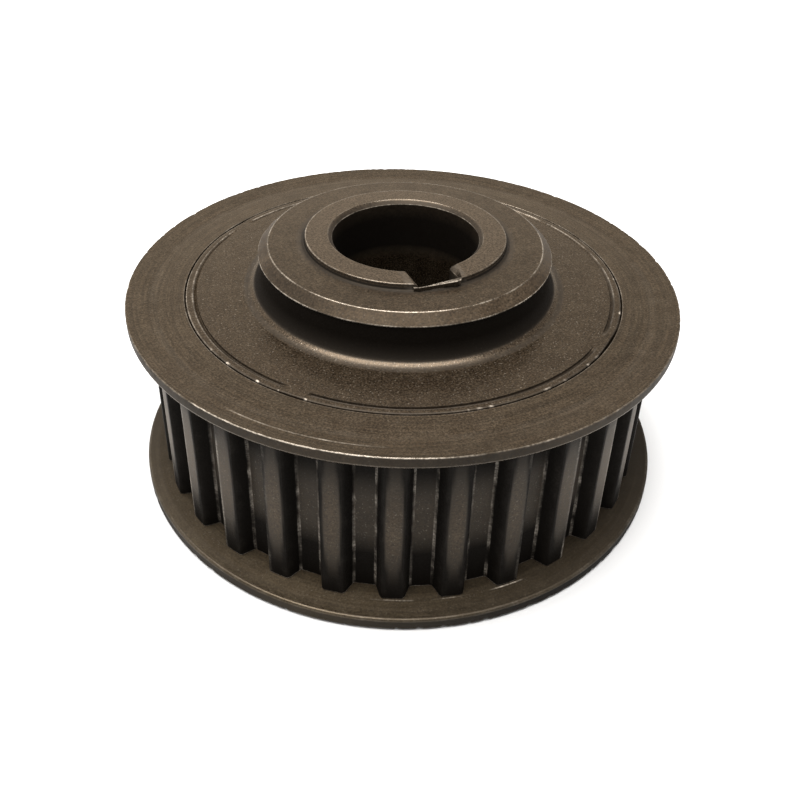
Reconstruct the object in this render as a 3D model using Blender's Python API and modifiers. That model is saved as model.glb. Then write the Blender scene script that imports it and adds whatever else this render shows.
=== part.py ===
"""Flanged timing belt pulley: 30 trapezoidal teeth, a stepped hub and a keyed bore.

It is three pieces, as it would lie on a bench: the toothed hub, which is one casting with
its web, shoulder and boss, and two identical pressed flanges, each held by a lip of the hub
that is staked outwards over the flange's inner edge.

Frame: metres, +Z along the bore axis, origin at the centre of the lower hub face, and the
keyway towards -Y.
"""

import math

import bmesh
import bpy

MM = 0.001

# Belt toothing: trapezoidal profile of 10 mm pitch
TEETH = 30
PITCH = 10 * MM
TIP_BELOW_PITCH_LINE = 0.92 * MM
TOOTH_DEPTH = 2.6 * MM
GROOVE_MOUTH = 6.1 * MM
FLANK_ANGLE = math.radians(25)
TIP_ROUND = 0.8 * MM
ROOT_ROUND = 0.4 * MM

# Flanges: flat where they sit on the teeth, flared outwards beyond the tooth tips
FLANGE_RADIUS = 50.6 * MM
FLANGE_BORE_RADIUS = 40.55 * MM
FLANGE_THICKNESS = 2.0 * MM
FLARE_START_RADIUS = 45.9 * MM
FLARE_RISE = 0.55 * MM
FLANGE_EDGE = 0.25 * MM
SEAT_GAP = 0.3 * MM

# Heights along the axis
FLANGE_EDGE_HEIGHT = 0.4 * MM
BELT_CHANNEL = 31.0 * MM
SHOULDER_EDGE_ABOVE_FLANGE = 6.2 * MM
SHOULDER_ABOVE_FLANGE = 7.95 * MM
BOSS_ABOVE_FLANGE = 9.15 * MM

# Hub and web, as radii from the bore axis
BORE_RADIUS = 13.5 * MM
BORE_CHAMFER = 0.85 * MM
BOSS_RADIUS = 18.4 * MM
BOSS_FOOT = 0.9 * MM
SHOULDER_FLAT_RADIUS = 25.1 * MM
SHOULDER_EDGE_RADIUS = 27.0 * MM
NECK_RADIUS = 26.6 * MM
WEB_FILLET = 3.4 * MM
STAKE_GROOVE_INNER = 38.3 * MM
STAKE_GROOVE_OUTER = 39.1 * MM
STAKE_GROOVE_DEPTH = 0.5 * MM

# Relief ring in the underside, between the hub and the rim
RELIEF_INNER = 27.4 * MM
RELIEF_OUTER = 36.4 * MM
RELIEF_DEPTH = 4.5 * MM
RELIEF_FILLET = 1.6 * MM
RELIEF_CHAMFER = 0.5 * MM

# Keyway
KEYWAY_WIDTH = 8.2 * MM
KEYWAY_FLOOR = 18.5 * MM

TURN_STEPS = 3 * TEETH
MERGE = 0.00001
SMOOTH_UNDER = math.radians(25)

# Heights worked out from the ones above
LOWER_SEAT_OUTSIDE = FLANGE_EDGE_HEIGHT + FLARE_RISE
LOWER_SEAT_INSIDE = LOWER_SEAT_OUTSIDE + FLANGE_THICKNESS
UPPER_SEAT_INSIDE = LOWER_SEAT_INSIDE + BELT_CHANNEL
UPPER_SEAT_OUTSIDE = UPPER_SEAT_INSIDE + FLANGE_THICKNESS
UPPER_EDGE = UPPER_SEAT_OUTSIDE + FLARE_RISE
TOP = UPPER_EDGE + BOSS_ABOVE_FLANGE

TIP_RADIUS = TEETH * PITCH / math.tau - TIP_BELOW_PITCH_LINE
ROOT_RADIUS = TIP_RADIUS - TOOTH_DEPTH


def clear_scene():
    for old in list(bpy.data.objects):
        bpy.data.objects.remove(old, do_unlink=True)


def new_collection(name):
    collection = bpy.data.collections.new(name)
    bpy.context.scene.collection.children.link(collection)
    return collection


def metal(name, colour, roughness):
    material = bpy.data.materials.new(name)
    material.use_nodes = True
    shader = material.node_tree.nodes["Principled BSDF"]
    shader.inputs["Base Color"].default_value = (*colour, 1)
    shader.inputs["Roughness"].default_value = roughness
    shader.inputs["Metallic"].default_value = 0.8
    return material


def arc(centre, radius, start, end, steps):
    """Points along an arc from start to end, in degrees, both ends included."""
    angles = [math.radians(start + (end - start) * i / steps) for i in range(steps + 1)]
    return [(centre[0] + radius * math.cos(a), centre[1] + radius * math.sin(a)) for a in angles]


def turned(name, profile, collection, material):
    """A ring turned about Z from a closed outline of (radius, height), down its outer side."""
    mesh = bpy.data.meshes.new(name)
    edges = [(i, (i + 1) % len(profile)) for i in range(len(profile))]
    mesh.from_pydata([(r, 0, z) for r, z in profile], edges, [])
    mesh.materials.append(material)
    ring = bpy.data.objects.new(name, mesh)
    collection.objects.link(ring)
    screw = ring.modifiers.new("turn", "SCREW")
    screw.axis = "Z"
    screw.angle = math.tau
    screw.steps = TURN_STEPS
    screw.render_steps = TURN_STEPS
    screw.use_merge_vertices = True
    screw.merge_threshold = MERGE
    return ring


def hub_outline():
    """Half section of the hub: along the top, down the outside, back along the bottom, up the bore."""
    boss_foot = TOP - (BOSS_ABOVE_FLANGE - SHOULDER_ABOVE_FLANGE)
    shoulder_edge = UPPER_EDGE + SHOULDER_EDGE_ABOVE_FLANGE
    groove_middle = (STAKE_GROOVE_INNER + STAKE_GROOVE_OUTER) / 2
    lip_radius = FLANGE_BORE_RADIUS - SEAT_GAP
    web = UPPER_SEAT_OUTSIDE

    top = [(BORE_RADIUS + BORE_CHAMFER, TOP), (BOSS_RADIUS, TOP)]
    top += arc((BOSS_RADIUS + BOSS_FOOT, boss_foot + BOSS_FOOT), BOSS_FOOT, 180, 270, 2)
    top += [
        (SHOULDER_FLAT_RADIUS, boss_foot),
        (SHOULDER_EDGE_RADIUS, shoulder_edge),
        (NECK_RADIUS, shoulder_edge - (SHOULDER_EDGE_RADIUS - NECK_RADIUS)),
    ]
    top += arc((NECK_RADIUS + WEB_FILLET, web + WEB_FILLET), WEB_FILLET, 180, 270, 4)
    top += [
        (STAKE_GROOVE_INNER, web),
        (groove_middle, web - STAKE_GROOVE_DEPTH),
        (STAKE_GROOVE_OUTER, web),
        (lip_radius, web),
    ]

    teeth_top = UPPER_SEAT_INSIDE - SEAT_GAP
    teeth_bottom = LOWER_SEAT_INSIDE + SEAT_GAP
    outside = [
        (lip_radius, teeth_top),
        (TIP_RADIUS, teeth_top),
        (TIP_RADIUS, teeth_bottom),
        (lip_radius, teeth_bottom),
    ]

    rim_face = LOWER_SEAT_OUTSIDE
    relief_floor = rim_face + RELIEF_DEPTH
    corner = RELIEF_FILLET
    bottom = [
        (lip_radius, rim_face),
        (STAKE_GROOVE_OUTER, rim_face),
        (groove_middle, rim_face + STAKE_GROOVE_DEPTH),
        (STAKE_GROOVE_INNER, rim_face),
        (RELIEF_OUTER + RELIEF_CHAMFER, rim_face),
        (RELIEF_OUTER, rim_face + RELIEF_CHAMFER),
    ]
    bottom += arc((RELIEF_OUTER - corner, relief_floor - corner), corner, 0, 90, 2)
    bottom += arc((RELIEF_INNER + corner, relief_floor - corner), corner, 90, 180, 2)
    bottom += [
        (RELIEF_INNER, RELIEF_CHAMFER),
        (RELIEF_INNER - RELIEF_CHAMFER, 0),
        (BORE_RADIUS + BORE_CHAMFER, 0),
    ]

    bore = [(BORE_RADIUS, BORE_CHAMFER), (BORE_RADIUS, TOP - BORE_CHAMFER)]
    return top + outside + bottom + bore


def groove_outline():
    """One tooth groove, seen along the axis, opening towards +X: its root, flanks and rounded tips."""
    slope = math.tan(FLANK_ANGLE)
    half_root = GROOVE_MOUTH / 2 - TOOTH_DEPTH * slope
    root_angle = 90 - math.degrees(FLANK_ANGLE)
    root_tangent = ROOT_ROUND * math.tan(math.radians(root_angle) / 2)
    tip_tangent = TIP_ROUND * math.tan(math.radians(root_angle) / 2)
    outside = TIP_RADIUS + 2 * MM

    half = arc(
        (ROOT_RADIUS + ROOT_ROUND, half_root - root_tangent), ROOT_ROUND, 180, 180 - root_angle, 2
    )
    half += arc(
        (TIP_RADIUS - TIP_ROUND, GROOVE_MOUTH / 2 + tip_tangent), TIP_ROUND, -root_angle, 0, 3
    )
    half.append((outside, GROOVE_MOUTH / 2 + tip_tangent))
    return half + [(x, -y) for x, y in reversed(half)]


def groove_cutters(collection):
    """All the tooth grooves as one cutter, with the first groove on the keyway's line."""
    cutter = bmesh.new()
    floor = LOWER_SEAT_OUTSIDE
    height = UPPER_SEAT_OUTSIDE - LOWER_SEAT_OUTSIDE
    outline = groove_outline()
    for tooth in range(TEETH):
        turn = math.tau * tooth / TEETH - math.pi / 2
        cos, sin = math.cos(turn), math.sin(turn)
        ring = [cutter.verts.new((x * cos - y * sin, x * sin + y * cos, floor)) for x, y in outline]
        base = cutter.faces.new(ring)
        raised = bmesh.ops.extrude_face_region(cutter, geom=[base])["geom"]
        lifted = [part for part in raised if isinstance(part, bmesh.types.BMVert)]
        bmesh.ops.translate(cutter, vec=(0, 0, height), verts=lifted)
    bmesh.ops.recalc_face_normals(cutter, faces=cutter.faces)
    mesh = bpy.data.meshes.new("groove_cutters")
    cutter.to_mesh(mesh)
    cutter.free()
    grooves = bpy.data.objects.new("groove_cutters", mesh)
    collection.objects.link(grooves)
    return grooves


def keyway_cutter(collection):
    """A box through the whole hub, from inside the bore to the keyway's floor."""
    inner = BORE_RADIUS / 2
    bpy.ops.mesh.primitive_cube_add(size=1, location=(0, -(inner + KEYWAY_FLOOR) / 2, TOP / 2))
    box = bpy.context.object
    box.name = "keyway_cutter"
    box.scale = (KEYWAY_WIDTH, KEYWAY_FLOOR - inner, 2 * TOP)
    bpy.ops.object.transform_apply(location=False, rotation=False, scale=True)
    for holder in list(box.users_collection):
        holder.objects.unlink(box)
    collection.objects.link(box)
    return box


def cut(body, cutter):
    boolean = body.modifiers.new(cutter.name, "BOOLEAN")
    boolean.operation = "DIFFERENCE"
    boolean.solver = "EXACT"
    boolean.object = cutter
    cutter.hide_render = True
    cutter.display_type = "WIRE"


def shade_smooth(piece):
    """Keeps the modifiers' result as the piece's own mesh, smooth but for its edges."""
    evaluated = piece.evaluated_get(bpy.context.evaluated_depsgraph_get())
    mesh = bpy.data.meshes.new_from_object(evaluated)
    piece.modifiers.clear()
    piece.data = mesh
    mesh.shade_smooth()
    mesh.set_sharp_from_angle(angle=SMOOTH_UNDER)


def toothed_hub(collection, cutters, material):
    hub = turned("toothed_hub", hub_outline(), collection, material)
    cut(hub, groove_cutters(cutters))
    cut(hub, keyway_cutter(cutters))
    return hub


def flange_outline():
    """Half section of a flange lying on its seat at height 0, its flare rising outwards."""
    top = FLANGE_THICKNESS
    edge = FLANGE_EDGE
    return [
        (FLANGE_BORE_RADIUS, top),
        (FLARE_START_RADIUS, top),
        (FLANGE_RADIUS - edge, top + FLARE_RISE),
        (FLANGE_RADIUS, top + FLARE_RISE - edge),
        (FLANGE_RADIUS, FLARE_RISE + edge),
        (FLANGE_RADIUS - edge, FLARE_RISE),
        (FLARE_START_RADIUS, 0),
        (FLANGE_BORE_RADIUS, 0),
    ]


def upper_flange(collection, material):
    flange = turned("upper_flange", flange_outline(), collection, material)
    flange.location.z = UPPER_SEAT_INSIDE
    return flange


def lower_flange(collection, material):
    """The same flange as the upper one, turned over."""
    flange = turned("lower_flange", flange_outline(), collection, material)
    flange.location.z = LOWER_SEAT_INSIDE
    flange.rotation_euler.x = math.pi
    return flange


def main():
    clear_scene()
    pulley = new_collection("timing_belt_pulley")
    cutters = new_collection("cutters")
    cast = metal("oxide_cast_steel", (0.125, 0.108, 0.085), 0.48)
    pressed = metal("oxide_pressed_steel", (0.11, 0.088, 0.068), 0.42)
    pieces = [
        toothed_hub(pulley, cutters, cast),
        upper_flange(pulley, pressed),
        lower_flange(pulley, pressed),
    ]
    for piece in pieces:
        shade_smooth(piece)


main()
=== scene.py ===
"""The looks of the flanged timing belt pulley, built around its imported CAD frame.

Three pieces stand for the three CAD nodes: the toothed hub with its web, shoulder, boss and
keyway, and the two pressed flanges. Each is one fine closed mesh laid out on a polar grid, so
that edges are really rounded, the staking is really punched in and the rim is really nicked.
Lengths are metres, in the frame's own axes: +Z along the bore, the keyway towards -Y.
"""

import math
from collections import namedtuple

import bmesh
import bpy
import numpy as np
from mathutils import Matrix, Vector, kdtree, noise


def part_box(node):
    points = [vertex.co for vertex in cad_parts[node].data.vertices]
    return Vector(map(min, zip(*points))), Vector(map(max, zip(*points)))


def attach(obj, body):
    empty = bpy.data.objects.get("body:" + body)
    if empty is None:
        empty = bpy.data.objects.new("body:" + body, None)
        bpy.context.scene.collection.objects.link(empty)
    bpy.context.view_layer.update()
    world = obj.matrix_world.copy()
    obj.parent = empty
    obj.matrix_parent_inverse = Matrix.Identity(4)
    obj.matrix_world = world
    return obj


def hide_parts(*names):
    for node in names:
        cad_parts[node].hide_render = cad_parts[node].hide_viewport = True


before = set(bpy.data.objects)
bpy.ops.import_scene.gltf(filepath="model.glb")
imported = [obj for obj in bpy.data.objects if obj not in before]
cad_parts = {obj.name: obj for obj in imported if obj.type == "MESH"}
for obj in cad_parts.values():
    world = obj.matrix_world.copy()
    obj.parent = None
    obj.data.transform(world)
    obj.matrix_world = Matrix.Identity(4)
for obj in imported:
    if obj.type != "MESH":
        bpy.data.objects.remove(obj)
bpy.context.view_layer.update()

MM = 0.001
FRONT = math.radians(-107.6)  # the bearing of the photograph's camera

# Sizes read from the frame
_, hub_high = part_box("toothed_hub")
upper_low, upper_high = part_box("upper_flange")
_, lower_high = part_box("lower_flange")
TOP = hub_high.z
TIP_RADIUS = hub_high.x
FLANGE_RADIUS = upper_high.x
UPPER_SEAT = upper_low.z
LOWER_SEAT = lower_high.z

# Toothing
TEETH = 30
TOOTH_DEPTH = 2.6 * MM
GROOVE_MOUTH = 6.1 * MM
FLANK_ANGLE = math.radians(25)
TIP_ROUND = 1.1 * MM
ROOT_ROUND = 0.4 * MM
ROOT_RADIUS = TIP_RADIUS - TOOTH_DEPTH
FIRST_GROOVE = -math.pi / 2

# Flanges
FLANGE_BORE_RADIUS = 40.45 * MM
FLANGE_THICKNESS = 2.0 * MM
FLARE_START_RADIUS = 45.9 * MM
FLARE_RISE = (upper_high.z - upper_low.z) - FLANGE_THICKNESS
FLANGE_COLUMNS = 720

# Hub, as radii and as heights below its top
BORE_RADIUS = 13.5 * MM
BORE_CHAMFER = 0.75 * MM
BOSS_RADIUS = 18.4 * MM
BOSS_HEIGHT = 1.2 * MM
SHOULDER_FLAT_RADIUS = 25.1 * MM
SHOULDER_EDGE_RADIUS = 27.0 * MM
NECK_RADIUS = 26.6 * MM
WEB_FILLET = 3.4 * MM
LIP_RADIUS = 40.05 * MM
SHOULDER = TOP - BOSS_HEIGHT
SHOULDER_EDGE = SHOULDER - 1.75 * MM
WEB = UPPER_SEAT + FLANGE_THICKNESS
RIM_FACE = LOWER_SEAT - FLANGE_THICKNESS
SEAT_CLEARANCE = 0.04 * MM
RELIEF_INNER = 27.4 * MM
RELIEF_OUTER = 36.4 * MM
RELIEF_DEPTH = 4.5 * MM
NEAR = 0.01 * MM  # how close to a height or radius counts as being at it

# Keyway, with its hand-filed chamfers: each is wider at one end than at the other
KEYWAY_HALF = 4.1 * MM
KEYWAY_FLOOR = 18.5 * MM
KEY_BURR = 0.17 * MM

# Staking: four punched arcs that push the lip out over the flange
STAKE_RADIUS = 38.45 * MM
STAKE_DEPTH = 0.42 * MM
STAKE_SPREAD = 0.14 * MM
STAKE_ARCS = [(-129, -49), (-45, 41), (45, 131), (135, 227)]

# Painted shade on the shoulder's bevel, strongest at this bearing
SHADED_BEVEL_BEARING = math.radians(-152)  # the bearing at which the shoulder's bevel is darkest

# Colours of the darkest painted shade and dirt, of oxide rubbed thin, and of metal worn bare;
# the last two also stand for painted highlights
SOOT_AND_SHADE = (0.002, 0.0016, 0.0014, 1)
RUBBED_AND_HIGHLIGHT = (0.042, 0.0315, 0.022, 1)
BARE_METAL_AND_HIGHLIGHT = (0.42, 0.38, 0.33, 1)

# What every point of a piece carries for its material, from 0 to 1: its edge wear and painted
# highlight, how rough its casting is, its painted shade and dirt, its rubbed-off oxide and painted
# highlight, and how dull.
LAYERS = ("wear", "cast", "grime_and_painted_shade", "bare_and_highlight", "matt")

Corner = namedtuple("Corner", "r z bend steps wear cast gap")


def corner(r, z, bend=0.0, steps=3, wear=0.0, cast=0.0, gap=1.2 * MM):
    """A corner of a half section, rounded to the radius bend in so many steps.

    cast and gap are the finish and the row spacing of the side after it.
    """
    return Corner(r, z, bend, steps, wear, cast, gap)


def rounded_section(corners, hold=0.07 * MM):
    """Rows (r, z, wear, cast) round a closed half section, its corners turned into arcs.

    A row close to each end of a side holds the shading of its edges.
    """
    arcs = []
    for i, here in enumerate(corners):
        before, after = corners[i - 1], corners[(i + 1) % len(corners)]
        p = np.array([here.r, here.z])
        to_before = np.array([before.r, before.z]) - p
        to_after = np.array([after.r, after.z]) - p
        to_before /= np.linalg.norm(to_before)
        to_after /= np.linalg.norm(to_after)
        opening = math.acos(np.clip(to_before @ to_after, -1, 1))
        if here.bend == 0 or opening > math.radians(179.5):
            arcs.append([p])
            continue
        middle = (to_before + to_after) / np.linalg.norm(to_before + to_after)
        centre = p + middle * here.bend / math.sin(opening / 2)
        reach = here.bend / math.tan(opening / 2)
        first = p + to_before * reach - centre
        last = p + to_after * reach - centre
        start = math.atan2(first[1], first[0])
        turn = (math.atan2(last[1], last[0]) - start + math.pi) % math.tau - math.pi
        angles = start + turn * np.linspace(0, 1, here.steps + 1)
        arcs.append([centre + here.bend * np.array([math.cos(a), math.sin(a)]) for a in angles])

    rows = []
    for i, here in enumerate(corners):
        for p in arcs[i]:
            rows.append((p[0], p[1], here.wear, here.cast))
        end, start = arcs[(i + 1) % len(corners)][0], arcs[i][-1]
        length = np.linalg.norm(end - start)
        if length < 3 * hold:
            continue
        shares = np.linspace(0, 1, max(2, round_up(length / here.gap)) + 1)[1:-1]
        ends = [hold / length, 1 - hold / length]
        inside = [s for s in shares if ends[0] * 2 < s < 1 - ends[0] * 2]
        for share in sorted(ends + inside):
            p = start + (end - start) * share
            rows.append((p[0], p[1], 0.0, here.cast))
    return np.array(rows)


def round_up(x):
    return int(math.ceil(x - 1e-9))


def smooth_step(x, low, high):
    t = np.clip((x - low) / (high - low), 0, 1)
    return t * t * (3 - 2 * t)


def window(x, low, high, soft):
    """1 between low and high, fading to 0 over soft at each end."""
    return smooth_step(x, low, low + soft) * smooth_step(-x, -high, -high + soft)


def uneven(points, scale, seed):
    """Smooth noise from -1 to 1 at each point, with features about 1/scale metres long."""
    shift = Vector((seed * 3.1, seed * 7.7, seed * 1.3))
    return np.array([noise.noise(Vector(p) * scale + shift) for p in points])


def tooth_columns():
    """The columns of the hub's grid, once round, as five arrays.

    They are the columns' angles, how far the surface stands out from the tips' circle (below 0),
    its wear and painted glint, the painted shade on the tips' rounded sides, and which way a side
    leans: 1 or -1.
    """
    bend = math.pi / 2 - FLANK_ANGLE
    half_root = GROOVE_MOUTH / 2 - TOOTH_DEPTH * math.tan(FLANK_ANGLE)
    root_side = half_root - ROOT_ROUND * math.tan(bend / 2)
    tip_side = GROOVE_MOUTH / 2 + TIP_ROUND * math.tan(bend / 2)

    def on_arc(out, side, size, angle, wear, shade):
        return (out + size * math.cos(angle), side + size * math.sin(angle), wear, shade)

    # Half a groove and half a tooth, from the middle of the root outwards. Each point is
    # (distance out, distance to the side, wear and painted glint, shade).
    root = [(ROOT_RADIUS, root_side * t, 0.0, 0.0) for t in (0, 0.4, 0.8, 0.94)]
    root += [
        on_arc(ROOT_RADIUS + ROOT_ROUND, root_side, ROOT_ROUND, math.pi - bend * t, 0.4, 0.0)
        for t in (0, 0.5, 1)
    ]
    tip = [
        on_arc(TIP_RADIUS - TIP_ROUND, tip_side, TIP_ROUND, -bend * (1 - t), 0.012, shade)
        for t, shade in ((0, 0.0), (0.25, 0.3), (0.5, 1.0), (0.75, 0.85), (1, 0.25))
    ]
    foot, head = root[-1], tip[0]
    flank = [
        (foot[0] + (head[0] - foot[0]) * t, foot[1] + (head[1] - foot[1]) * t, 0.0, 0.0)
        for t in (0.08, 0.5)
    ]

    half = [
        (math.atan2(side, out), min(math.hypot(out, side), TIP_RADIUS), wear, shade)
        for out, side, wear, shade in root + flank + tip
    ]
    land_start = half[-1][0]
    land_middle = math.pi / TEETH
    for t in (0.5, 1):
        half.append((land_start + (land_middle - land_start) * t, TIP_RADIUS, 0.0, 0.0))
    pitch = [(-angle, *rest) for angle, *rest in reversed(half[1:-1])] + half
    angles, radii, wear, shade = (np.array(column) for column in zip(*pitch))
    turns = math.tau * np.arange(TEETH) / TEETH + FIRST_GROOVE
    once_round = [np.tile(a, TEETH) for a in (radii - TIP_RADIUS, wear, shade, -np.sign(angles))]
    return (turns[:, None] + angles[None, :]).ravel(), *once_round


def grid_object(name, x, y, z, layers):
    """A closed ring of faces from rows by columns of points, with its layers stored on them."""
    rows, columns = x.shape
    mesh = bpy.data.meshes.new(name)
    points = np.stack([x, y, z], axis=-1).reshape(-1, 3)
    here = np.arange(rows * columns).reshape(rows, columns)
    below = np.roll(here, -1, axis=0)
    quads = np.stack(
        [here, below, np.roll(below, -1, axis=1), np.roll(here, -1, axis=1)], axis=-1
    ).reshape(-1, 4)
    mesh.from_pydata(points.tolist(), [], quads.tolist())
    mesh.update()
    piece = bpy.data.objects.new(name, mesh)
    bpy.context.scene.collection.objects.link(piece)
    for layer, values in layers.items():
        store(mesh, layer, np.broadcast_to(values, x.shape).ravel())
    return piece


def store(mesh, layer, values):
    attribute = mesh.attributes.get(layer) or mesh.attributes.new(layer, "FLOAT", "POINT")
    attribute.data.foreach_set("value", values.astype(np.float32))


def stored(mesh, layer):
    values = np.empty(len(mesh.vertices), np.float32)
    mesh.attributes[layer].data.foreach_get("value", values)
    return values


def face_outwards(mesh):
    shape = bmesh.new()
    shape.from_mesh(mesh)
    bmesh.ops.recalc_face_normals(shape, faces=shape.faces)
    shape.to_mesh(mesh)
    shape.free()


def smooth_but_edges(mesh, degrees):
    mesh.shade_smooth()
    mesh.set_sharp_from_angle(angle=math.radians(degrees))


def stake_strength(angles):
    """How deep the staking is punched at each angle, 0 to 1, and how far its line wanders.

    The arcs fade in and out, but the first one starts with a sharp step.
    """
    degrees = np.degrees(angles)
    strength = np.zeros_like(angles)
    for start, end in STAKE_ARCS:
        inside = (degrees - start) % 360
        length = end - start
        strength += window(inside, 0, length, 5) * (inside <= length)
    start, end = STAKE_ARCS[0]
    inside = (degrees - start) % 360
    strength = np.where(inside < 6, smooth_step(inside, 0, 0.5), strength)
    wander = 0.10 * MM * np.sin(3 * angles + 0.6) + 0.06 * MM * np.sin(7 * angles + 2.1)
    return strength, wander


def stake_shape(r):
    """Height change across the staking, r being the distance out from its inner edge.

    It has a steep inner wall, a slanted outer one and a raised lip.
    """
    dig = np.interp(
        r,
        np.array([-0.10, 0.0, 0.10, 0.28, 0.62, 0.80]) * MM,
        [0.0, -0.85, -1.0, -0.72, 0.0, 0.05],
    )
    lip = np.interp(r, np.array([0.8, 1.1, 1.6, 1.8]) * MM, [0.05, 0.08, 0.02, -0.05])
    return np.where(r < 0.8 * MM, dig, lip) * STAKE_DEPTH


def hub_corners():
    """The hub's half section, from the bore's edge outwards, round and back up the bore."""
    teeth_top = UPPER_SEAT - SEAT_CLEARANCE
    teeth_bottom = LOWER_SEAT + SEAT_CLEARANCE
    stake_rows = STAKE_RADIUS + np.array(
        [-0.5, -0.2, -0.1, -0.04, 0.0, 0.05, 0.1, 0.18, 0.28, 0.4, 0.52, 0.62, 0.8, 1.1, 1.4]
    ) * MM
    corners = [
        corner(BORE_RADIUS + BORE_CHAMFER, TOP, 0.10 * MM, 3, 0.25),
        corner(BOSS_RADIUS, TOP, 0.16 * MM, 4, 0.6),
        corner(BOSS_RADIUS, SHOULDER, 0.8 * MM, 7, 0.0, 0.2),
        corner(SHOULDER_FLAT_RADIUS, SHOULDER, 0.22 * MM, 4, 0.55),
        corner(SHOULDER_EDGE_RADIUS, SHOULDER_EDGE, 0.16 * MM, 4, 0.6, 0.0, 0.3 * MM),
        corner(NECK_RADIUS, SHOULDER_EDGE - 0.4 * MM, 0.25 * MM, 3, 0.0, 1.0),
        corner(NECK_RADIUS, WEB, WEB_FILLET, 14, 0.0, 1.0, 0.9 * MM),
    ]
    corners += [corner(r, WEB, 0, 0, 0.0, 0.6, 0.3 * MM) for r in stake_rows]
    corners += [
        corner(LIP_RADIUS, WEB, 0.18 * MM, 4, 0.5, 0.3),
        corner(LIP_RADIUS, teeth_top, 0, 0, 0.0, 0.3, 2 * MM),
        corner(TIP_RADIUS, teeth_top, 0.1 * MM, 2, 0.3, 0.3, 1.5 * MM),
        corner(TIP_RADIUS, teeth_bottom, 0.1 * MM, 2, 0.6, 0.3, 2 * MM),
        corner(LIP_RADIUS, teeth_bottom, 0, 0, 0.0, 0.3, 2 * MM),
        corner(LIP_RADIUS, RIM_FACE, 0.18 * MM, 4, 0.5, 0.6),
    ]
    corners += [corner(r, RIM_FACE, 0, 0, 0.0, 0.6, 0.3 * MM) for r in stake_rows[::-1]]
    relief_floor = RIM_FACE + RELIEF_DEPTH
    corners += [
        corner(RELIEF_OUTER, RIM_FACE, 0.5 * MM, 3, 0.3, 1.0, 1 * MM),
        corner(RELIEF_OUTER, relief_floor, 1.6 * MM, 5, 0.0, 1.0, 1 * MM),
        corner(RELIEF_INNER, relief_floor, 1.6 * MM, 5, 0.0, 1.0, 1 * MM),
        corner(RELIEF_INNER, 0, 0.4 * MM, 3, 0.8, 0.0, 2 * MM),
        corner(BORE_RADIUS + BORE_CHAMFER, 0, 0.1 * MM, 3, 0.6),
        corner(BORE_RADIUS, BORE_CHAMFER, 0.1 * MM, 2, 0.2, 0.0, 3 * MM),
        corner(BORE_RADIUS, TOP - BORE_CHAMFER, 0.1 * MM, 2, 0.5, 0.0, 0.4 * MM),
    ]
    return corners


def hub_painted_shade(r, z, teeth, depth, shade, away):
    """Painted shade on the hub: under the boss and the shoulder, and in the tooth grooves and at
    their ends.
    """
    # Painted shade at the boss's foot, on its side and at the bore's edge
    across_boss_foot = (r - BOSS_RADIUS - 0.5 * MM) / (0.5 * MM)
    below_boss = np.exp(-(across_boss_foot**2)) * (abs(z - SHOULDER) < 0.5 * MM)
    boss_side = abs(r - BOSS_RADIUS) < 0.2 * MM
    boss_side = boss_side & (z > SHOULDER + 0.05 * MM) & (z < TOP - 0.2 * MM)
    bore_edge = r < BORE_RADIUS + 0.9 * BORE_CHAMFER
    bore_edge = bore_edge & (z > TOP - 1.2 * BORE_CHAMFER) & (z < TOP - 0.2 * MM)
    boss = 0.85 * below_boss + 0.5 * boss_side + 0.6 * bore_edge

    # Painted shade on the neck and its fillet, all but the band where the lamp's highlight falls
    fillet = (r < NECK_RADIUS + WEB_FILLET) & (z > WEB - 0.05 * MM) & (z < SHOULDER_EDGE)
    above = 1 - smooth_step(r, NECK_RADIUS + 1.2 * MM, NECK_RADIUS + 1.6 * MM)
    below = window(r, NECK_RADIUS + 1.9 * MM, NECK_RADIUS + WEB_FILLET + 0.1 * MM, 0.6 * MM)
    web = fillet * (0.97 * above + 0.5 * below)

    # Painted shade in the grooves, on the tips' rounded sides, and towards the teeth's feet and
    # heads
    flank = window(depth, 0.012, 0.98, 0.05) * (1 - away * (depth < 0.12))
    root = smooth_step(depth, 0.9, 1.0)
    feet = smooth_step(LOWER_SEAT + 15 * MM - z, 0, 13 * MM) ** 1.2
    heads = smooth_step(z, UPPER_SEAT - 14 * MM, UPPER_SEAT - 1 * MM)
    tooth = flank + 0.45 * root + shade * (1 - away) + feet + 0.9 * heads
    return np.clip(boss + web + teeth * tooth, 0, 1)


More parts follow.
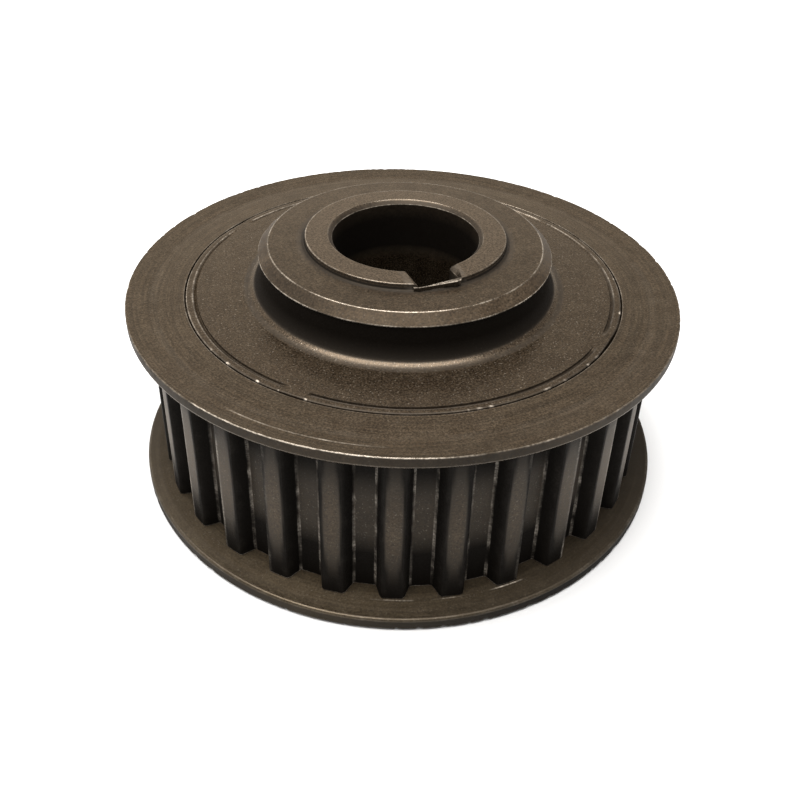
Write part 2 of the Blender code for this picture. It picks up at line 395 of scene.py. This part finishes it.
def hub_layers(r, z, wear, cast, teeth, columns, points, strength):
    """The hub's five layers. Its teeth get a painted highlight on the sides that lean away from the
    front.
    """
    angles, dip, column_wear_and_glint, shade, leaning = columns
    shape = teeth.shape[0], len(angles)
    depth = -dip / TOOTH_DEPTH
    sideways = np.sin(angles - FRONT)
    away = smooth_step(leaning * sideways, 0.3, 0.85)
    towards_back = smooth_step(np.sin(angles), -0.6, 0.2)

    dots = smooth_step(uneven(points, 700, 9).reshape(shape), -0.25, 0.45)
    edge = wear + teeth * column_wear_and_glint * (0.1 + 1.25 * dots)
    # Painted highlights by bearing: the lip, the staking's outer wall and the boss's edge are
    # brighter towards the back, and the lip's edge gets bright chips at the front
    lip = (z > WEB - 0.3 * MM) & (z < WEB + NEAR) & (r > STAKE_RADIUS)
    edge = edge * np.where(lip, 0.08 + 1.4 * towards_back, 1.0)
    round_rim = np.stack([np.cos(angles), np.sin(angles), 0 * angles], axis=-1)
    lip_edge = lip * (r > LIP_RADIUS - 0.2 * MM) * (1 - towards_back)
    chips_and_glints = smooth_step(uneven(round_rim, 38, 8), 0.38, 0.55)
    edge = edge + lip_edge * chips_and_glints * 1.2
    across_stake_edge = ((r - STAKE_RADIUS) / MM - 0.62) / 0.10
    stake_edge = (abs(z - WEB) < NEAR) * np.exp(-(across_stake_edge**2))
    edge = edge + (0.1 + 1.0 * towards_back) * stake_edge * strength
    boss_edge = (abs(r - BOSS_RADIUS) < 0.2 * MM) & (z > TOP - 0.2 * MM)
    edge = np.where(boss_edge, edge * (0.4 + 1.0 * towards_back), edge)
    # Painted highlight: bright streaks on the tips' rounded sides that lean away from the front
    streaks = smooth_step(uneven(points, 160, 12).reshape(shape), -0.5, 0.5)
    edge = edge + teeth * (shade > 0.5) * away * (0.25 + 0.5 * streaks)

    grime_and_painted_shade = hub_painted_shade(r, z, teeth, depth, shade, away)
    # Painted shade: the staking's groove and the lip's edge are darker at the front, and the bevel
    # round one bearing
    in_groove = (abs(z - WEB) < NEAR) & (abs(r - STAKE_RADIUS - 0.3 * MM) < 0.45 * MM)
    grime_and_painted_shade = grime_and_painted_shade + 0.6 * in_groove * strength * (1 - towards_back) + 0.6 * lip_edge
    bevel = r > SHOULDER_FLAT_RADIUS
    bevel = bevel & (z > SHOULDER_EDGE - 0.1 * MM) & (z < SHOULDER - 0.1 * MM)
    shaded_bevel = smooth_step(np.cos(angles - SHADED_BEVEL_BEARING), 0.9, 1.0)
    grime_and_painted_shade = grime_and_painted_shade + bevel * 0.35 * shaded_bevel

    # Painted highlights: a lighter band along the neck's fillet where the lamp is reflected, and
    # tooth lands lighter the more they face sideways
    bead_highlight = window(r, NECK_RADIUS + 1.2 * MM, NECK_RADIUS + 2.3 * MM, 0.5 * MM)
    bead_highlight = bead_highlight * (z > WEB) * (z < WEB + 3 * MM)
    lit_side_lands = teeth * (dip > -0.1 * MM) * (0.1 + 1.3 * abs(sideways) ** 3)
    return {
        "wear": edge,
        "cast": cast + teeth * smooth_step(depth, 0.9, 1.0),
        "grime_and_painted_shade": np.clip(grime_and_painted_shade, 0, 1),
        "bare_and_highlight": (z > SHOULDER + 0.6 * MM) + bead_highlight * 0.8 + lit_side_lands,
        "matt": bevel * 0.7 + teeth * 0.55,
    }


def hub_grid():
    """The hub before its keyway is cut."""
    section = rounded_section(hub_corners())
    columns = tooth_columns()
    angles, dip = columns[:2]
    r, z, wear, cast = (section[:, i][:, None] for i in range(4))

    # Rows between the seats follow the teeth, more the further out they are
    between = (z < UPPER_SEAT) & (z > LOWER_SEAT) & (r > LIP_RADIUS + 0.001 * MM)
    reach = np.where(between, (r - LIP_RADIUS) / (TIP_RADIUS - LIP_RADIUS), 0.0)
    teeth = reach > 0.98
    radius = r + reach * dip
    height = z + 0 * radius

    strength, wander = stake_strength(angles)
    for face, up in ((WEB, 1), (RIM_FACE, -1)):
        zone = (abs(z - face) < 0.2 * MM) & (r > STAKE_RADIUS - 0.6 * MM) & (r < LIP_RADIUS + MM)
        across = r - STAKE_RADIUS
        height += np.where(zone, up * stake_shape(across) * strength, 0)
        radius += np.where(zone, wander * window(across, -0.6 * MM, 1.0 * MM, 0.4 * MM), 0)
        outer = zone & (r > LIP_RADIUS - 0.25 * MM)
        radius += np.where(outer, STAKE_SPREAD * strength, 0)

    x, y = radius * np.cos(angles), radius * np.sin(angles)
    points = np.stack([x, y, height], axis=-1).reshape(-1, 3)
    lumps = uneven(points, 220, 1).reshape(x.shape) + 0.5 * uneven(points, 520, 2).reshape(x.shape)
    height = height + lumps * 0.02 * MM * cast * (reach == 0) * (abs(z - SHOULDER) > NEAR)
    outside = teeth * 0.004 * MM * lumps
    x = x + outside * np.cos(angles)
    y = y + outside * np.sin(angles)
    layers = hub_layers(r, z, wear, cast, teeth, columns, points, strength)
    return grid_object("pulley_body", x, y, height, layers)


def prism(name, rings):
    """A closed solid through two or more rings of as many points."""
    shape = bmesh.new()
    rings = [[shape.verts.new(p) for p in ring] for ring in rings]
    shape.faces.new(rings[0])
    shape.faces.new(rings[-1])
    for low, high in zip(rings, rings[1:]):
        for i in range(len(low)):
            j = (i + 1) % len(low)
            shape.faces.new([low[i], low[j], high[j], high[i]])
    bmesh.ops.recalc_face_normals(shape, faces=shape.faces)
    mesh = bpy.data.meshes.new(name)
    shape.to_mesh(mesh)
    shape.free()
    solid = bpy.data.objects.new(name, mesh)
    bpy.context.scene.collection.objects.link(solid)
    return solid


def burr_top(x):
    """Height of the keyway's burr, which stands lower on its left."""
    left, right = TOP - 0.5 * MM, TOP - 0.12 * MM
    return left + (right - left) * (x / KEYWAY_HALF + 1) / 2


def keyway_cutter():
    """The keyway with its two skewed chamfers, as one solid from inside the bore to its floor."""
    over = 2 * MM
    wall_top = TOP - 2.2 * MM

    def outline(y, lean, left, left_depth, right):
        corner_left = -KEYWAY_HALF + lean
        run = left / left_depth * over
        points = [
            (-KEYWAY_HALF, -over),
            (KEYWAY_HALF, -over),
            (KEYWAY_HALF, TOP - right),
            (KEYWAY_HALF + right + over, TOP + over),
            (corner_left - left - run, TOP + over),
            (corner_left, TOP - left_depth),
            (-KEYWAY_HALF, wall_top),
        ]
        return [(x, y, z) for x, z in points]

    inner = outline(-12.2 * MM, -0.10 * MM, 0.2 * MM, 0.2 * MM, 1.25 * MM)
    outer = outline(-KEYWAY_FLOOR, 0.85 * MM, 1.0 * MM, 0.5 * MM, 0.35 * MM)
    return prism("keyway_cutter", [inner, outer])


def keyway_burr():
    """The thin wall that the keyway left standing at the outside of the boss."""
    inner, outer, ends = KEYWAY_FLOOR, KEYWAY_FLOOR + KEY_BURR, KEYWAY_FLOOR - 1.0 * MM
    plan = [
        (-4.7 * MM, -ends),
        (-3.3 * MM, -outer),
        (3.5 * MM, -outer),
        (4.7 * MM, -ends),
        (KEYWAY_HALF + 0.001 * MM, -ends),
        (KEYWAY_HALF + 0.001 * MM, -inner),
        (-KEYWAY_HALF - 0.001 * MM, -inner),
        (-KEYWAY_HALF - 0.001 * MM, -ends),
    ]
    foot = [(x, y, SHOULDER - 0.6 * MM) for x, y in plan]
    below, crest = ([(x, y, burr_top(x) - drop) for x, y in plan] for drop in (0.06 * MM, 0))
    return prism("keyway_burr", [foot, below, crest])


def combine(piece, other, operation):
    """Joins the solid other to the piece, or cuts it out of it, and removes it."""
    boolean = piece.modifiers.new(other.name, "BOOLEAN")
    boolean.operation = operation
    boolean.solver = "EXACT"
    boolean.object = other
    evaluated = piece.evaluated_get(bpy.context.evaluated_depsgraph_get())
    mesh = bpy.data.meshes.new_from_object(evaluated)
    piece.modifiers.clear()
    piece.data = mesh
    bpy.data.objects.remove(other)


def restore_layers(mesh, source):
    """Gives each point of a cut mesh the layer values of the nearest point before the cut."""
    tree = kdtree.KDTree(len(source.vertices))
    for i, vertex in enumerate(source.vertices):
        tree.insert(vertex.co, i)
    tree.balance()
    nearest = np.array([tree.find(vertex.co)[1] for vertex in mesh.vertices])
    for layer in LAYERS:
        store(mesh, layer, stored(source, layer)[nearest])


def wear_keyway_edges(mesh):
    """Bright edges round the keyway's mouth and along its burr, wear and painted highlight, with
    the mouth's sides darker.
    """
    points = np.empty(len(mesh.vertices) * 3)
    mesh.vertices.foreach_get("co", points)
    x, y, z = points.reshape(-1, 3).T
    mouth = (y < -BORE_RADIUS * 0.9) & (y > -KEYWAY_FLOOR - 2 * KEY_BURR)
    mouth = mouth & (z > SHOULDER + 0.2 * MM)
    beside = (abs(x) > KEYWAY_HALF - 0.01 * MM) & (abs(x) < KEYWAY_HALF + 1.3 * MM)
    burr = abs(y + KEYWAY_FLOOR + KEY_BURR / 2) < KEY_BURR
    burr = burr & (abs(x) < KEYWAY_HALF + 0.2 * MM)
    crest = abs(z - burr_top(x)) < 0.02 * MM
    wear, grime_and_painted_shade = stored(mesh, "wear"), stored(mesh, "grime_and_painted_shade")
    wear = np.where(mouth & beside, np.maximum(wear, 0.08), wear)
    grime_and_painted_shade = np.where(mouth & beside, np.maximum(grime_and_painted_shade, 0.3), grime_and_painted_shade)
    store(mesh, "wear", np.where(mouth & burr & crest, 1.5, wear))
    store(mesh, "grime_and_painted_shade", np.where(mouth & burr, 0.15, grime_and_painted_shade))


def pulley_body(material):
    body = hub_grid()
    face_outwards(body.data)
    before = body.data.copy()
    combine(body, keyway_cutter(), "DIFFERENCE")
    combine(body, keyway_burr(), "UNION")
    restore_layers(body.data, before)
    wear_keyway_edges(body.data)
    smooth_but_edges(body.data, 28)
    body.data.materials.clear()
    body.data.materials.append(material)
    return body


def flange_ring(name, seat, up, burr, painted_shadow, shadowed_side, dullness, seed, material):
    """A pressed flange on its seat: sheared sharp on its outer face, rolled over on its inner one.

    burr is the span of bearings, in degrees, where its outer edge is rolled into a bright crest.
    The two arguments after burr paint a shadow: how dark the flange gets on its shaded side, and
    that side's bearing in degrees.
    """
    top = FLANGE_THICKNESS
    corners = [
        corner(FLANGE_BORE_RADIUS, top, 0.12 * MM, 3, 0.5),
        corner(FLARE_START_RADIUS, top, 7 * MM, 6, 0.0),
        corner(FLANGE_RADIUS, top + FLARE_RISE, 0.15 * MM, 3, 0.3, 0.0, 0.5 * MM),
        corner(FLANGE_RADIUS, FLARE_RISE, 0.5 * MM, 6, 0.1),
        corner(FLARE_START_RADIUS, 0, 7 * MM, 6, 0.0),
        corner(FLANGE_BORE_RADIUS, 0, 0.12 * MM, 2, 0.2, 0.0, 0.6 * MM),
    ]
    section = rounded_section(corners)
    r, z, wear, cast = (section[:, i][:, None] for i in range(4))
    angles = math.tau * np.arange(FLANGE_COLUMNS) / FLANGE_COLUMNS
    radius = r + 0 * angles
    height = z + 0 * angles

    round_rim = np.stack([np.cos(angles), np.sin(angles), 0 * angles], axis=-1)
    fine = uneven(round_rim, 60, seed)
    coarse = uneven(round_rim, 14, seed + 1)
    nicks = smooth_step(fine, 0.15, 0.6) * 0.12 * MM + np.maximum(coarse, 0) * 0.05 * MM
    rolled = window(np.degrees(angles), *burr, 9) if burr else 0 * angles
    ridge = (0.08 + 0.06 * uneven(round_rim, 90, seed + 2)) * MM
    sharp_edge = (r > FLANGE_RADIUS - 0.3 * MM) & (z > top + FLARE_RISE - 0.3 * MM)
    radius = radius - np.where(sharp_edge, nicks, 0)
    height = height + np.where(sharp_edge, rolled * ridge - nicks * 0.6, 0)

    # Painted shade: outside the rolled burr the crest is darkened and dulled, and the rim's outer
    # face is darkened
    crest = (r > FLANGE_RADIUS - 0.13 * MM) & (z > top + FLARE_RISE - 0.13 * MM)
    shaded_crest = crest * (1 - rolled)
    rim = (r > FLANGE_RADIUS - 0.01 * MM) * 0.8
    matt = np.maximum(rim, dullness * (1 - smooth_step(r, 48.6 * MM, 49.6 * MM)))
    # Painted shadow, strongest towards one side
    most_shadowed = np.sqrt(0.5 + 0.5 * np.cos(angles - math.radians(shadowed_side)))
    layers = {
        "wear": wear * (0.75 + 0.5 * coarse) + crest * rolled * 2.2,
        "cast": cast,
        "grime_and_painted_shade": np.clip(0.65 * rim + painted_shadow * most_shadowed + 0.35 * shaded_crest, 0, 0.95),
        "bare_and_highlight": np.zeros_like(radius),
        "matt": np.maximum(matt, shaded_crest * 0.9),
    }

    x, y = radius * np.cos(angles), radius * np.sin(angles)
    piece = grid_object(name, x, y, seat + up * height, layers)
    face_outwards(piece.data)
    smooth_but_edges(piece.data, 30)
    piece.data.materials.append(material)
    return piece


class Graph:
    """Short ways to add nodes to the node tree of a material or a world, and join them up."""

    def __init__(self, owner):
        owner.use_nodes = True
        self.tree = owner.node_tree

    def plug(self, socket, value):
        if isinstance(value, bpy.types.NodeSocket):
            self.tree.links.new(value, socket)
        else:
            socket.default_value = value

    def node(self, kind, inputs, **settings):
        made = self.tree.nodes.new(kind)
        for key, value in settings.items():
            setattr(made, key, value)
        for key, value in inputs.items():
            self.plug(made.inputs[key], value)
        return made

    def maths(self, operation, a, b=0.0, clamp=False):
        made = self.node("ShaderNodeMath", {0: a, 1: b}, operation=operation, use_clamp=clamp)
        return made.outputs[0]

    def noise(self, vector, scale, detail=2.0, roughness=0.5):
        inputs = {"Vector": vector, "Scale": scale, "Detail": detail, "Roughness": roughness}
        return self.node("ShaderNodeTexNoise", inputs).outputs[0]

    def remap(self, value, low, high, to_low=0.0, to_high=1.0, **settings):
        inputs = {0: value, 1: low, 2: high, 3: to_low, 4: to_high}
        return self.node("ShaderNodeMapRange", inputs, clamp=True, **settings).outputs[0]

    def blend(self, factor, a, b, mode="MIX"):
        made = self.node("ShaderNodeMix", {0: factor}, data_type="RGBA", blend_type=mode)
        self.plug(made.inputs[6], a)
        self.plug(made.inputs[7], b)
        return made.outputs[2]

    def layer(self, name):
        return self.node("ShaderNodeAttribute", {}, attribute_name=name).outputs["Fac"]

    def band(self, value, centre, half, soft):
        """1 where value is within half of centre, fading out over soft."""
        distance = self.maths("ABSOLUTE", self.maths("SUBTRACT", value, centre))
        return self.remap(distance, half, half + soft, 1.0, 0.0)


def oxide_metal(name, dark, brown, pale, grain_size, contrast, gloss, marks, scratches=()):
    """Blackened steel: blotched, speckled with painted glints, with turning marks, and worn bright
    along its edges, with painted highlights and shade from its layers.

    dark, brown and pale are its oxide's colours, grain_size is in millimetres, and gloss is the
    roughness of clean oxide. marks is how strongly the turning shows. A scratch is an arc:
    its radius and half width in millimetres, where it starts and ends in degrees, and its strength.
    """
    material = bpy.data.materials.new(name)
    g = Graph(material)
    shader = g.tree.nodes["Principled BSDF"]
    cast, grime_and_painted_shade, matt = g.layer("cast"), g.layer("grime_and_painted_shade"), g.layer("matt")

    place = g.node("ShaderNodeTexCoord", {}).outputs["Object"]
    split = g.node("ShaderNodeSeparateXYZ", {0: place}).outputs
    flat = g.node("ShaderNodeCombineXYZ", {0: split[0], 1: split[1], 2: 0.0}).outputs[0]
    radius = g.node("ShaderNodeVectorMath", {0: flat}, operation="LENGTH").outputs["Value"]
    heading = g.node("ShaderNodeVectorMath", {0: flat}, operation="NORMALIZE").outputs[0]
    bearing = g.maths("ARCTAN2", split[1], split[0])

    # Noise that changes fast along the radius and slowly round the axis: turning marks
    out = g.maths("MULTIPLY", radius, 2600.0)
    outwards = g.node("ShaderNodeCombineXYZ", {0: 0.0, 1: 0.0, 2: out}).outputs[0]
    stretched = g.node(
        "ShaderNodeVectorMath",
        {0: heading, 1: (2.2, 2.2, 0.0), 2: outwards},
        operation="MULTIPLY_ADD",
    ).outputs[0]
    rings = g.noise(stretched, 1.0, 2.0, 0.6)

    blotch = g.remap(g.noise(place, 95, 4.0, 0.6), 0.35, 0.65)
    patch = g.remap(g.noise(place, 330, 3.0, 0.6), 0.36, 0.66)
    grain = g.noise(place, 1000 / grain_size, 3.0, 0.65)
    colour = g.blend(blotch, (*dark, 1), (*brown, 1))
    colour = g.blend(g.maths("MULTIPLY", patch, 0.8), colour, (*pale, 1))
    # Rubbed oxide and painted highlight lighten the colour
    colour = g.blend(g.layer("bare_and_highlight"), colour, RUBBED_AND_HIGHLIGHT)
    shade = g.remap(grain, 0.30, 0.70, 1 - contrast, 1 + contrast)
    shade = g.maths("MULTIPLY", shade, g.remap(rings, 0.4, 0.6, 1 - marks, 1 + marks))
    colour = g.blend(1.0, colour, shade, "MULTIPLY")
    # Painted glints: specks of bare-metal colour, more on the rough casting
    glint_speck = g.remap(g.noise(place, 3400, 1.0, 0.5), 0.64, 0.80)
    glint_speck = g.maths("MULTIPLY", glint_speck, g.remap(cast, 0.0, 1.0, 0.10, 0.30))
    colour = g.blend(glint_speck, colour, BARE_METAL_AND_HIGHLIGHT)
    # Painted shade and dirt darken it
    colour = g.blend(grime_and_painted_shade, colour, SOOT_AND_SHADE)

    fine_breaks = g.remap(g.noise(place, 2400, 1.0, 0.5), 0.35, 0.65, 0.3, 1.0)
    long_breaks = g.remap(g.noise(place, 240, 3.0, 0.6), 0.36, 0.60, 0.12, 1.0)
    breaks = g.maths("MULTIPLY", fine_breaks, long_breaks)
    wear = g.maths("MULTIPLY", g.layer("wear"), breaks, clamp=True)
    for centre, half, start, end, strength in scratches:
        line = g.band(radius, centre * MM, half * MM, 0.08 * MM)
        middle, reach = math.radians((start + end) / 2), math.radians((end - start) / 2)
        span = g.band(bearing, middle, reach, 0.05)
        mark = g.maths("MULTIPLY", g.maths("MULTIPLY", line, span), strength)
        wear = g.maths("MAXIMUM", wear, g.maths("MULTIPLY", mark, breaks))
    # Edge wear and painted highlight, in bare metal's colour
    colour = g.blend(wear, colour, BARE_METAL_AND_HIGHLIGHT)

    dull = g.maths("MAXIMUM", grime_and_painted_shade, matt)
    rough = g.remap(grain, 0.3, 0.7, gloss - 0.08, gloss + 0.10)
    rough = g.maths("ADD", rough, g.maths("MULTIPLY", dull, 0.4))
    rough = g.maths("SUBTRACT", rough, g.maths("MULTIPLY", wear, 0.08))
    pits = g.maths("MULTIPLY", grain, g.remap(cast, 0.0, 1.0, 0.5, 1.0))
    relief = g.maths("ADD", pits, g.maths("MULTIPLY", rings, 2.5 * marks))
    bump = g.node("ShaderNodeBump", {"Strength": 0.8, "Distance": 0.03 * MM, "Height": relief})

    g.plug(shader.inputs["Base Color"], colour)
    g.plug(shader.inputs["Metallic"], g.remap(dull, 0.0, 1.0, 0.6, 0.0))
    g.plug(shader.inputs["Specular IOR Level"], g.remap(dull, 0.0, 1.0, 0.5, 0.08))
    g.plug(shader.inputs["Specular Tint"], (1.0, 0.90, 0.77, 1))
    g.plug(shader.inputs["Roughness"], rough)
    g.plug(shader.inputs["Normal"], bump.outputs[0])
    return material


def studio_floor():
    """A plain pale floor."""
    half = 0.5
    corners = [(-half, -half, 0), (half, -half, 0), (half, half, 0), (-half, half, 0)]
    mesh = bpy.data.meshes.new("studio_floor")
    mesh.from_pydata(corners, [], [(0, 1, 2, 3)])
    floor = bpy.data.objects.new("studio_floor", mesh)
    bpy.context.scene.collection.objects.link(floor)
    paper = bpy.data.materials.new("pale_paper")
    g = Graph(paper)
    shader = g.tree.nodes["Principled BSDF"]
    g.plug(shader.inputs["Base Color"], (0.53, 0.555, 0.59, 1))
    g.plug(shader.inputs["Roughness"], 0.9)
    g.plug(shader.inputs["Specular IOR Level"], 0.1)
    mesh.materials.append(paper)


def studio_world():
    """Warm light, stronger from behind on the left, that turns white towards the horizon."""
    world = bpy.data.worlds.new("studio")
    g = Graph(world)
    sky = g.tree.nodes["Background"]
    direction = g.node("ShaderNodeTexCoord", {}).outputs["Generated"]
    height = g.node("ShaderNodeSeparateXYZ", {0: direction}).outputs[2]
    brighter_side = {0: direction, 1: (-0.7, 0.7, 0.0)}
    side = g.node("ShaderNodeVectorMath", brighter_side, operation="DOT_PRODUCT").outputs["Value"]
    strength = g.remap(side, -0.6, 0.8, 0.4, 1.15, interpolation_type="SMOOTHSTEP")
    horizon = g.remap(height, 0.06, 0.30, 1.0, 0.0, interpolation_type="SMOOTHSTEP")
    g.plug(sky.inputs["Strength"], g.remap(horizon, 0.0, 1.0, strength, 1.05))
    g.plug(sky.inputs["Color"], g.blend(horizon, (1.0, 0.92, 0.82, 1), (1.0, 1.0, 1.0, 1)))
    bpy.context.scene.world = world


def softbox():
    """One large soft lamp, nearly straight above."""
    lamp = bpy.data.lights.new("overhead_softbox", "AREA")
    lamp.shape = "DISK"
    lamp.size = 0.95
    lamp.energy = 29.0
    lamp.color = (1.0, 0.95, 0.89)
    holder = bpy.data.objects.new("overhead_softbox", lamp)
    holder.location = (-0.08, -0.01, 0.88)
    aim = Vector((0, 0, 0.03)) - holder.location
    holder.rotation_euler = aim.to_track_quat("-Z", "Y").to_euler()
    bpy.context.scene.collection.objects.link(holder)


def camera():
    """Looks down on the pulley from its front, a little to the left of the keyway."""
    turn = math.radians(-17.556)
    elevation = math.radians(30.193)
    distance = 165.4 * MM
    aim_height = 36.5 * MM
    pitch, yaw, roll = math.radians(-0.9164), math.radians(0.3904), math.radians(1.8143)
    lens = bpy.data.cameras.new("camera")
    lens.sensor_width = 36
    lens.lens = 39.496
    lens.shift_x = -0.0125
    lens.shift_y = -0.1375
    lens.clip_start = 0.01
    lens.clip_end = 10
    eye = bpy.data.objects.new("camera", lens)
    eye.matrix_world = (
        Matrix.Rotation(turn, 4, "Z")
        @ Matrix.Translation((0, 0, aim_height))
        @ Matrix.Rotation(math.pi / 2 - elevation, 4, "X")
        @ Matrix.Translation((0, 0, distance))
        @ Matrix.Rotation(pitch, 4, "X")
        @ Matrix.Rotation(-yaw, 4, "Y")
        @ Matrix.Rotation(roll, 4, "Z")
    )
    bpy.context.scene.collection.objects.link(eye)
    bpy.context.scene.camera = eye


camera()
studio_floor()
studio_world()
softbox()
bpy.context.scene.view_settings.view_transform = "Standard"

cast_oxide = oxide_metal(
    "cast_oxide",
    dark=(0.0195, 0.0135, 0.0083),
    brown=(0.025, 0.0174, 0.0108),
    pale=(0.033, 0.0246, 0.0163),
    grain_size=0.36,
    contrast=0.7,
    gloss=0.26,
    marks=0.09,
)
pressed_oxide = oxide_metal(
    "pressed_oxide",
    dark=(0.023, 0.0162, 0.0100),
    brown=(0.029, 0.0207, 0.0128),
    pale=(0.037, 0.0280, 0.0188),
    grain_size=0.36,
    contrast=0.6,
    gloss=0.26,
    marks=0.22,
    scratches=[(48.0, 0.09, -139, -112, 0.6), (45.8, 0.6, -180, 180, 0.03)],
)
# A lighter copy of the pressed oxide: painted light for the lower flange, which the upper flange
# shades
lit_lower_oxide = oxide_metal(
    "pressed_oxide_lower_lit",
    dark=(0.030, 0.0228, 0.0140),
    brown=(0.037, 0.0280, 0.0172),
    pale=(0.044, 0.0346, 0.0228),
    grain_size=0.34,
    contrast=0.4,
    gloss=0.30,
    marks=0.12,
    scratches=[
        (47.0, 0.07, -109.6, -106.4, 0.9),
        (47.0, 0.06, -97.3, -94.8, 0.7),
        (47.0, 0.07, -85.5, -82.8, 0.9),
    ],
)

body = pulley_body(cast_oxide)
upper = flange_ring(
    "upper_flange_ring",
    UPPER_SEAT,
    up=1,
    burr=(212, 263),
    painted_shadow=0.0,
    shadowed_side=0,
    dullness=0.0,
    seed=5,
    material=pressed_oxide,
)
lower = flange_ring(
    "lower_flange_ring",
    LOWER_SEAT,
    up=-1,
    burr=None,
    # A painted shadow on one side of the lower flange
    painted_shadow=1.1,
    shadowed_side=55,
    dullness=0.8,
    seed=11,
    material=lit_lower_oxide,
)
for piece, node, slot in (
    (body, "toothed_hub", "cast_body"),
    (upper, "upper_flange", "pressed_flange"),
    (lower, "lower_flange", "pressed_flange"),
):
    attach(piece, "root")
    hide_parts(node)
